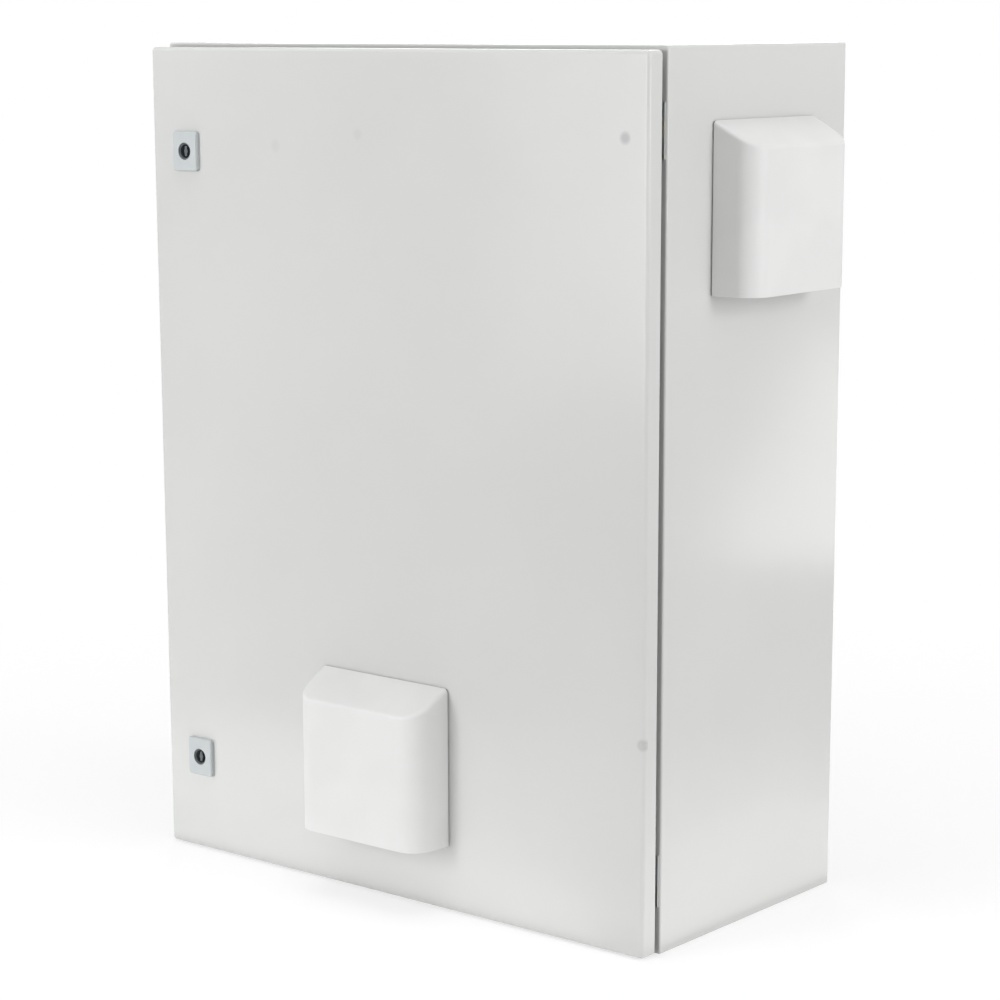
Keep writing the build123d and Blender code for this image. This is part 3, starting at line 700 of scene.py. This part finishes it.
def panel_face(mesh, corners, axis):
    """One square-cornered face that fills a box's low side across an axis."""
    made = bmesh.ops.create_grid(mesh, x_segments=1, y_segments=1, size=0.5)["verts"]
    wide, tall = cross_sizes(corners, axis)
    bmesh.ops.scale(mesh, vec=(wide, tall, 1.0), verts=made)
    bmesh.ops.transform(mesh, matrix=stand(corners, axis, 1), verts=made)
    return made[0].link_faces[0]


def inset(mesh, face, thickness):
    """Sets a face in from its outline, and leaves a flat rim round it."""
    bmesh.ops.inset_region(
        mesh, faces=[face], thickness=thickness, use_even_offset=True, use_boundary=True
    )


# The steps that the panel lists


class CABINET_OT_paint(bpy.types.Operator):
    """Paints the case and the door"""

    bl_idname = "cabinet.paint"
    bl_label = "Paint case and door"

    def execute(self, context):
        look = context.scene.cabinet_paint
        dress(["body_shell"], powder_coat("case_paint", look))
        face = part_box("door_panel")[0].y
        dress(["door_panel"], powder_coat("door_paint", look, MARKS, face))
        return {"FINISHED"}


class CABINET_OT_vents(bpy.types.Operator):
    """Finishes the rain hoods and the filter frames"""

    bl_idname = "cabinet.vents"
    bl_label = "Finish vents"

    def execute(self, context):
        trim = context.scene.cabinet_trim
        hood = moulded_plastic("hood_plastic", trim.hood_colour, HOOD_ROUGHNESS)
        frame_grey = moulded_plastic("frame_plastic", trim.frame_colour, FRAME_ROUGHNESS)
        dress(nodes_of("hood_plastic"), hood)
        dress(nodes_of("frame_plastic"), frame_grey)
        return {"FINISHED"}


class CABINET_OT_seals(bpy.types.Operator):
    """Builds the door's foamed seal, the hoods' strips, the gland plate's gasket and the filter mats"""

    bl_idname = "cabinet.seals"
    bl_label = "Build seals and filters"

    def execute(self, context):
        detail = context.scene.cabinet_detail
        trim = context.scene.cabinet_trim
        self.bead(detail, foam_rubber("door_foam", trim.seal_colour))
        strip = foam_rubber("strip_foam", trim.strip_colour)
        self.strip("door_vent_strip", "door_vent_seal", 1, strip)
        self.strip("side_vent_strip", "side_vent_seal", 0, strip)
        self.gasket(foam_rubber("gasket_rubber", trim.seal_colour))
        fleece = fibre_fleece("filter_fleece", trim.filter_colour)
        self.mat("door_filter_mat", "door_vent_filter", 1, detail, fleece)
        self.mat("side_filter_mat", "side_vent_filter", 0, detail, fleece)
        return {"FINISHED"}

    def bead(self, detail, material):
        """A foamed bead: rings set in one from the next, each at its own height."""
        low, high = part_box("door_seal")
        tall = high.y - low.y
        bead = bmesh.new()
        face = panel_face(bead, (low, high), 1)
        bmesh.ops.bevel(
            bead, geom=face.verts[:], offset=detail.bead_corner, offset_type="OFFSET",
            segments=BEAD_CORNER_STEPS, profile=0.5, affect="VERTICES", material=-1,
        )
        bead.faces.ensure_lookup_table()
        face = bead.faces[0]
        dip = 1.0 - detail.bead_groove / tall
        rise = [*BEAD_RISE, (BEAD_GROOVE_SIDE, (1.0 + dip) / 2.0)]
        fall = [(BEAD_WIDTH - far, share) for far, share in reversed(rise)]
        done = 0.0
        for far, share in [*rise, (BEAD_WIDTH / 2.0, dip), *fall, (BEAD_WIDTH, 0.0)]:
            inset(bead, face, (far - done) * MM)
            done = far
            for vert in face.verts:
                vert.co.y = low.y + share * tall
        bmesh.ops.delete(bead, geom=[face], context="FACES_ONLY")
        rims = [edge for edge in bead.edges if edge.is_boundary]
        bmesh.ops.bridge_loops(bead, edges=rims)
        finish_piece(bead, "door_seal_bead", material, "door_seal", smooth=True)

    def strip(self, name, node, axis, material):
        """A strip of self-adhesive foam under a hood's sides and top."""
        low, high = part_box(node)
        wide = STRIP_WIDTH * MM
        strip = bmesh.new()
        below = low - Vector((0.0, 0.0, 2.0 * wide))  # the frame's lower bar is cut away there
        face = panel_face(strip, (below, high), axis)
        inset(strip, face, wide)
        bmesh.ops.delete(strip, geom=[face], context="FACES_ONLY")
        bmesh.ops.bisect_plane(
            strip, geom=strip.verts[:] + strip.edges[:] + strip.faces[:], dist=NODE_MERGE,
            plane_co=low, plane_no=(0.0, 0.0, -1.0), clear_outer=True,
        )
        self.thicken(strip, axis, high[axis] - low[axis])
        finish_piece(strip, name, material, node)

    def thicken(self, mesh, axis, thickness):
        """Gives flat foam its thickness, and rounds its cut edges."""
        made = bmesh.ops.extrude_face_region(mesh, geom=mesh.faces[:])["geom"]
        lift = [thickness if i == axis else 0.0 for i in range(3)]
        verts = [part for part in made if isinstance(part, bmesh.types.BMVert)]
        bmesh.ops.translate(mesh, vec=lift, verts=verts)
        bmesh.ops.recalc_face_normals(mesh, faces=mesh.faces)
        sharp = [edge for edge in mesh.edges if edge.calc_face_angle(0.0) > SHARP_TURN]
        bmesh.ops.bevel(
            mesh, geom=sharp, offset=FOAM_ROUND * thickness, offset_type="OFFSET",
            segments=FOAM_ROUND_STEPS, profile=0.5, affect="EDGES", material=-1, clamp_overlap=True,
        )

    def gasket(self, material):
        """A rubber gasket between the case's floor and the gland plate."""
        low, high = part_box("gland_plate_seal")
        gasket = bmesh.new()
        face = panel_face(gasket, (low, high), 2)
        inset(gasket, face, GASKET_WIDTH * MM)
        bmesh.ops.delete(gasket, geom=[face], context="FACES_ONLY")
        self.thicken(gasket, 2, high.z - low.z)
        finish_piece(gasket, "gland_plate_gasket", material, "gland_plate_seal")

    def mat(self, name, node, axis, detail, material):
        """A cut pad of fleece: a lofty middle, pinched cut edges and tufts of fibre."""
        low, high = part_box(node)
        middle = (low + high) / 2.0
        wide, tall = cross_sizes((low, high), axis)
        noise.seed_set(MAT_SEED)
        mat = bmesh.new()
        columns, rows = MAT_GRID
        base = bmesh.ops.create_grid(mat, x_segments=columns, y_segments=rows, size=0.5)["verts"]
        bmesh.ops.scale(mat, vec=(wide, tall, 1.0), verts=base)
        bmesh.ops.transform(mat, matrix=stand((low, high), axis, 1), verts=base)
        lift = [(high - low)[i] / MAT_LAYERS if i == axis else 0.0 for i in range(3)]
        faces = mat.faces[:]
        for layer in range(MAT_LAYERS):
            made = bmesh.ops.extrude_face_region(mat, geom=faces)["geom"]
            if layer:
                bmesh.ops.delete(mat, geom=faces, context="FACES")
            faces = [part for part in made if isinstance(part, bmesh.types.BMFace)]
            verts = [part for part in made if isinstance(part, bmesh.types.BMVert)]
            bmesh.ops.translate(mat, vec=lift, verts=verts)
        sides = [i for i in range(3) if i != axis]
        for vert in mat.verts:
            inward = min(min(vert.co[i] - low[i], high[i] - vert.co[i]) for i in sides)
            loft = MAT_PINCHED + MAT_LOFT * min(1.0, max(0.0, inward) / (MAT_EDGE * MM)) ** 0.5
            vert.co[axis] = middle[axis] + (vert.co[axis] - middle[axis]) * loft
            tuft = noise.noise_vector(vert.co * TUFT_SCALE)
            fibre = noise.noise_vector(vert.co * FIBRE_SCALE) * FIBRE_SHARE
            moved = vert.co + (tuft + fibre) * detail.mat_fuzz
            vert.co = [min(max(moved[i], low[i]), high[i]) for i in range(3)]
        finish_piece(mat, name, material, node, smooth=True)


class CABINET_OT_fasteners(bpy.types.Operator):
    """Builds the threaded studs, hexagon nuts and cross-recess screws"""

    bl_idname = "cabinet.fasteners"
    bl_label = "Build fasteners"

    def execute(self, context):
        detail = context.scene.cabinet_detail
        trim = context.scene.cabinet_trim
        zinc = plated_metal("fastener_zinc", trim.zinc_colour, FASTENER_ROUGHNESS, FASTENER_TINT)
        for name, node, way, pitch in STUDS:
            self.studs(name, node, way, pitch * MM, detail.thread_steps, zinc)
        for name, node, bore in NUTS:
            self.nuts(name, node, bore * MM, zinc)
        for name, node, axis, way in SCREWS:
            self.screws(name, node, axis, way, detail.recess_arm, zinc)
        return {"FINISHED"}

    def studs(self, name, node, way, pitch, steps, material):
        """Threaded rods in place of a node's plain studs."""
        boxes = islands(node)
        size = boxes[0][1] - boxes[0][0]
        axis = max(range(3), key=lambda i: size[i])
        radius = cross_sizes(boxes[0], axis)[0] / 2.0
        rod = threaded_rod(radius, size[axis], pitch, steps)
        made = copies(rod, [stand(corners, axis, way) for corners in boxes])
        finish_piece(made, name, material, node)

    def nuts(self, name, node, bore, material):
        """Chamfered nuts in place of a node's plain hexagons."""
        boxes = islands(node)
        size = boxes[0][1] - boxes[0][0]
        axis = min(range(3), key=lambda i: size[i])
        first, second = cross_sizes(boxes[0], axis)
        nut = hexagon_nut(min(first, second), size[axis], bore)
        if first > second:
            bmesh.ops.rotate(
                nut, cent=(0.0, 0.0, 0.0), matrix=Matrix.Rotation(math.pi / 6.0, 3, "Z"), verts=nut.verts
            )
        made = copies(nut, [stand(corners, axis, 1) for corners in boxes])
        finish_piece(made, name, material, node)

    def screws(self, name, node, axis, way, arm, material):
        """Cross-recess screws in place of a node's plain ones."""
        boxes = islands(node)
        size = boxes[0][1] - boxes[0][0]
        head = cross_sizes(boxes[0], axis)[0] / 2.0
        screw = pan_screw(head, SCREW_HEAD * MM, SCREW_SHANK * MM, size[axis], arm)
        made = copies(screw, [stand(corners, axis, way) for corners in boxes])
        finish_piece(made, name, material, node)


class CABINET_OT_metals(bpy.types.Operator):
    """Finishes locks, hinges, plates and rails"""

    bl_idname = "cabinet.metals"
    bl_label = "Finish metals"

    def execute(self, context):
        trim = context.scene.cabinet_trim
        zinc = plated_metal("zinc_plate", trim.zinc_colour, ZINC_ROUGHNESS, ZINC_TINT)
        plating = plated_metal(
            "lock_plating", trim.plating_colour, LOCK_ROUGHNESS, LOCK_TINT, LOCK_METALLIC
        )
        dress(nodes_of("zinc"), zinc)
        dress(nodes_of("galvanised"), galvanised_sheet("galvanised_sheet", trim.sheet_colour))
        dress(nodes_of("lock_plating"), plating)
        dress(nodes_of("lock_core"), black_cast("lock_black", trim.core_colour))
        return {"FINISHED"}


# The stage, in metres, watts and degrees

SENSOR_WIDTH = 36.0  # of the camera, in millimetres
FLOOR_REACH = 30.0  # half of the floor's width
FLOOR_DROP = 0.2 * MM  # keeps the floor off the face of the case's underside
PAPER_SHADE = 0.92  # of the floor as it throws light back at the cabinet
LIT_SHADE = 0.42  # of the seen floor, which keeps the cabinet's shadow
GLOW = 0.64  # what the seen floor shines by itself
SHADOW_ENDS = (0.45, 1.3)  # the distances between which the seen floor turns plain white
MIRROR_ENDS = (0.95, 0.6)  # the distances between which the mirrored floor goes from far to near
# Each lamp has its place, the point that it faces, its width and height, and its power
LAMPS = (
    ("key_lamp", (-1.0, -2.85, 0.9), (0.0, 0.0, 0.5), (0.9, 1.7), 34.0),
    ("left_lamp", (-2.2, -2.0, 2.4), (0.0, 0.0, 0.4), (1.4, 1.4), 5.0),
    ("right_lamp", (3.0, 0.2, 1.2), (0.0, 0.0, 0.4), (1.6, 1.6), 37.0),
    ("top_lamp", (0.2, -0.4, 3.0), (0.0, 0.0, 0.4), (1.8, 1.8), 28.0),
    ("back_lamp", (-2.0, 2.6, 1.6), (0.0, 0.0, 0.4), (1.4, 1.4), 25.0),
    ("streak_lamp", (-1.575, -2.85, 0.52), (0.2, -0.15, 0.65), (0.75, 0.85), 2.7),
)
# Each card lies on the floor and shines up: its middle, its width and depth, its turn and its power
CARDS = (
    ("back_card", (1.593, 2.841, 0.03), (1.0, 3.0), -31.3, 18.8),
    ("left_card", (-0.5, -0.4, 0.004), (0.4, 0.3), 0.0, 0.2),
    ("front_card", (-0.04, -0.22, 0.004), (0.57, 0.12), 0.0, 0.073),
    ("right_card", (0.405, 0.1, 0.004), (0.19, 0.55), 0.0, 0.118),
)


class CABINET_OT_stage(bpy.types.Operator):
    """Sets the floor, the soft studio light and the camera"""

    bl_idname = "cabinet.stage"
    bl_label = "Set the stage"

    def execute(self, context):
        stage = context.scene.cabinet_stage
        context.scene.view_settings.view_transform = "Standard"
        self.floor(stage)
        self.world(context.scene, stage)
        for name, place, aim, size, power in LAMPS:
            turn = (Vector(aim) - Vector(place)).to_track_quat("-Z", "Y")
            self.lamp(context.scene, name, place, turn, size, power)
        for name, place, size, turn, power in CARDS:
            up = Euler((math.pi, 0.0, math.radians(turn))).to_quaternion()
            self.lamp(context.scene, name, place, up, size, power)
        self.camera(context.scene, stage)
        return {"FINISHED"}

    def floor(self, stage):
        """A wide sheet of paper under the cabinet."""
        sheet = bmesh.new()
        bmesh.ops.create_grid(sheet, x_segments=1, y_segments=1, size=FLOOR_REACH)
        bmesh.ops.translate(sheet, vec=(0.0, 0.0, -FLOOR_DROP), verts=sheet.verts)
        mesh = bpy.data.meshes.new("floor")
        sheet.to_mesh(mesh)
        sheet.free()
        floor = bpy.data.objects.new("floor", mesh)
        bpy.context.scene.collection.objects.link(floor)
        mesh.materials.append(self.paper(stage))

    def paper(self, stage):
        """Paper that is seen white round the cabinet's shadow, and has its own tone when mirrored."""
        look = Finish("floor_paper")
        seen = look.ray("Camera")
        mirrored = (look.ray("Glossy") + look.ray("Transmission")).rise(0.0, 1.0)
        away = look.node("ShaderNodeVectorMath", {"operation": "LENGTH"}, {0: look.place}, "Value")
        paper = self.diffuse(look, PAPER_SHADE)
        lit = self.diffuse(look, LIT_SHADE)
        shaded = look.node("ShaderNodeAddShader", None, {0: lit, 1: self.glow(look, GLOW)})
        view = self.blend(look, away.rise(*SHADOW_ENDS), shaded, self.glow(look, 1.0))
        level = away.rise(*MIRROR_ENDS) * (stage.floor_near - stage.floor_far) + stage.floor_far
        shown = self.blend(look, mirrored, paper, self.glow(look, level))
        end = look.tree.nodes["Material Output"]
        look.feed(end.inputs["Surface"], self.blend(look, seen, shown, view))
        return look.material

    def diffuse(self, look, shade):
        return look.node("ShaderNodeBsdfDiffuse", None, {"Color": (shade, shade, shade, 1.0)})

    def glow(self, look, strength):
        return look.node("ShaderNodeEmission", None, {"Color": WHITE, "Strength": strength})

    def blend(self, look, share, first, second):
        return look.node("ShaderNodeMixShader", None, {0: share, 1: first, 2: second})

    def world(self, scene, stage):
        """White where it is seen or mirrored, and a dimmer light from all round."""
        scene.world = bpy.data.worlds.new("studio")
        scene.world.use_nodes = True
        sky = Nodes(scene.world.node_tree)
        shown = (sky.ray("Camera") + sky.ray("Glossy") + sky.ray("Transmission")).rise(0.0, 1.0)
        back = sky.tree.nodes["Background"]
        sky.feed(back.inputs["Color"], WHITE)
        sky.feed(back.inputs["Strength"], shown * (1.0 - stage.ambient) + stage.ambient)

    def lamp(self, scene, name, place, turn, size, power):
        """A rectangular lamp that the camera doesn't see."""
        data = bpy.data.lights.new(name, "AREA")
        data.shape = "RECTANGLE"
        data.size, data.size_y = size
        data.energy = power
        lamp = bpy.data.objects.new(name, data)
        scene.collection.objects.link(lamp)
        lamp.visible_camera = False
        lamp.location = place
        lamp.rotation_mode = "QUATERNION"
        lamp.rotation_quaternion = turn

    def camera(self, scene, stage):
        """The camera, turned round its target by the azimuth and the elevation."""
        flat = math.cos(stage.elevation)
        back = Vector(
            (math.sin(stage.azimuth) * flat, -math.cos(stage.azimuth) * flat, math.sin(stage.elevation))
        )
        data = bpy.data.cameras.new("camera")
        data.sensor_fit = "HORIZONTAL"
        data.sensor_width = SENSOR_WIDTH
        data.lens = stage.lens
        data.shift_y = stage.shift
        camera = bpy.data.objects.new("camera", data)
        scene.collection.objects.link(camera)
        camera.location = Vector(stage.target) + back * stage.distance
        camera.rotation_mode = "QUATERNION"
        turn = (-back).to_track_quat("-Z", "Y")
        camera.rotation_quaternion = turn @ Quaternion((0.0, 0.0, 1.0), stage.roll)
        scene.camera = camera


OPERATORS = (
    CABINET_OT_paint, CABINET_OT_vents, CABINET_OT_metals, CABINET_OT_seals, CABINET_OT_fasteners,
    CABINET_OT_stage,
)


class CABINET_PT_tools(bpy.types.Panel):
    """Everything that can be changed, and the steps that build with it."""

    bl_idname = "CABINET_PT_tools"
    bl_label = "Roadside cabinet"
    bl_space_type = "VIEW_3D"
    bl_region_type = "UI"
    bl_category = "Cabinet"

    def draw(self, context):
        scene = context.scene
        groups = (scene.cabinet_paint, scene.cabinet_trim, scene.cabinet_detail, scene.cabinet_stage)
        for group in groups:
            box = self.layout.box()
            for name in group.__annotations__:
                box.prop(group, name)
        for operator in OPERATORS:
            self.layout.operator(operator.bl_idname)


CLASSES = (CabinetPaint, CabinetTrim, CabinetDetail, CabinetStage, *OPERATORS, CABINET_PT_tools)


def register():
    for made in CLASSES:
        bpy.utils.register_class(made)
    bpy.types.Scene.cabinet_paint = PointerProperty(type=CabinetPaint)
    bpy.types.Scene.cabinet_trim = PointerProperty(type=CabinetTrim)
    bpy.types.Scene.cabinet_detail = PointerProperty(type=CabinetDetail)
    bpy.types.Scene.cabinet_stage = PointerProperty(type=CabinetStage)


def unregister():
    del bpy.types.Scene.cabinet_stage
    del bpy.types.Scene.cabinet_detail
    del bpy.types.Scene.cabinet_trim
    del bpy.types.Scene.cabinet_paint
    for made in reversed(CLASSES):
        bpy.utils.unregister_class(made)


def main():
    register()
    bpy.ops.cabinet.paint()
    bpy.ops.cabinet.vents()
    bpy.ops.cabinet.metals()
    bpy.ops.cabinet.seals()
    bpy.ops.cabinet.fasteners()
    bpy.ops.cabinet.stage()


if __name__ == "__main__":
    main()
